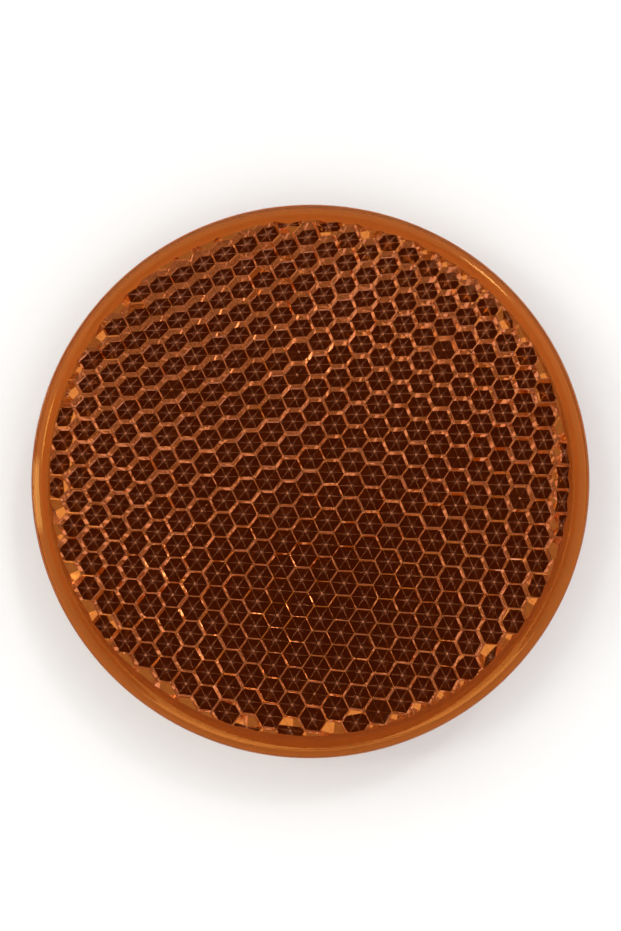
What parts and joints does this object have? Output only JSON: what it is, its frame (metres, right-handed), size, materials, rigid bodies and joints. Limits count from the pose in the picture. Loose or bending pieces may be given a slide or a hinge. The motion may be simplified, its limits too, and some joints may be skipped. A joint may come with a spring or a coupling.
{
  "type": "round adhesive reflector",
  "caption": "Flat round amber reflector with a field of hexagonal cube-corner pins behind a clear face, a closed back and a foam adhesive pad to stick it to a bicycle, trailer or post.",
  "frame": {"origin": "centre of the adhesive face, which is the bottom of the part", "axes": "+Z out of the front face, along the lens axis; +Y across the flats of the hexagonal pins, in line with a column of pins; +X across the columns"},
  "size_m": [0.06, 0.06, 0.0071],
  "materials": {
    "amber_acrylic": "clear amber acrylic, moulded gloss",
    "back_plate_plastic": "pale moulded plastic, matt",
    "adhesive_foam": "grey acrylic foam tape, matt and tacky"
  },
  "bodies": {
    "root": {"lens": "amber_acrylic", "back_plate": "back_plate_plastic", "adhesive_pad": "adhesive_foam"}
  },
  "joints": []
}
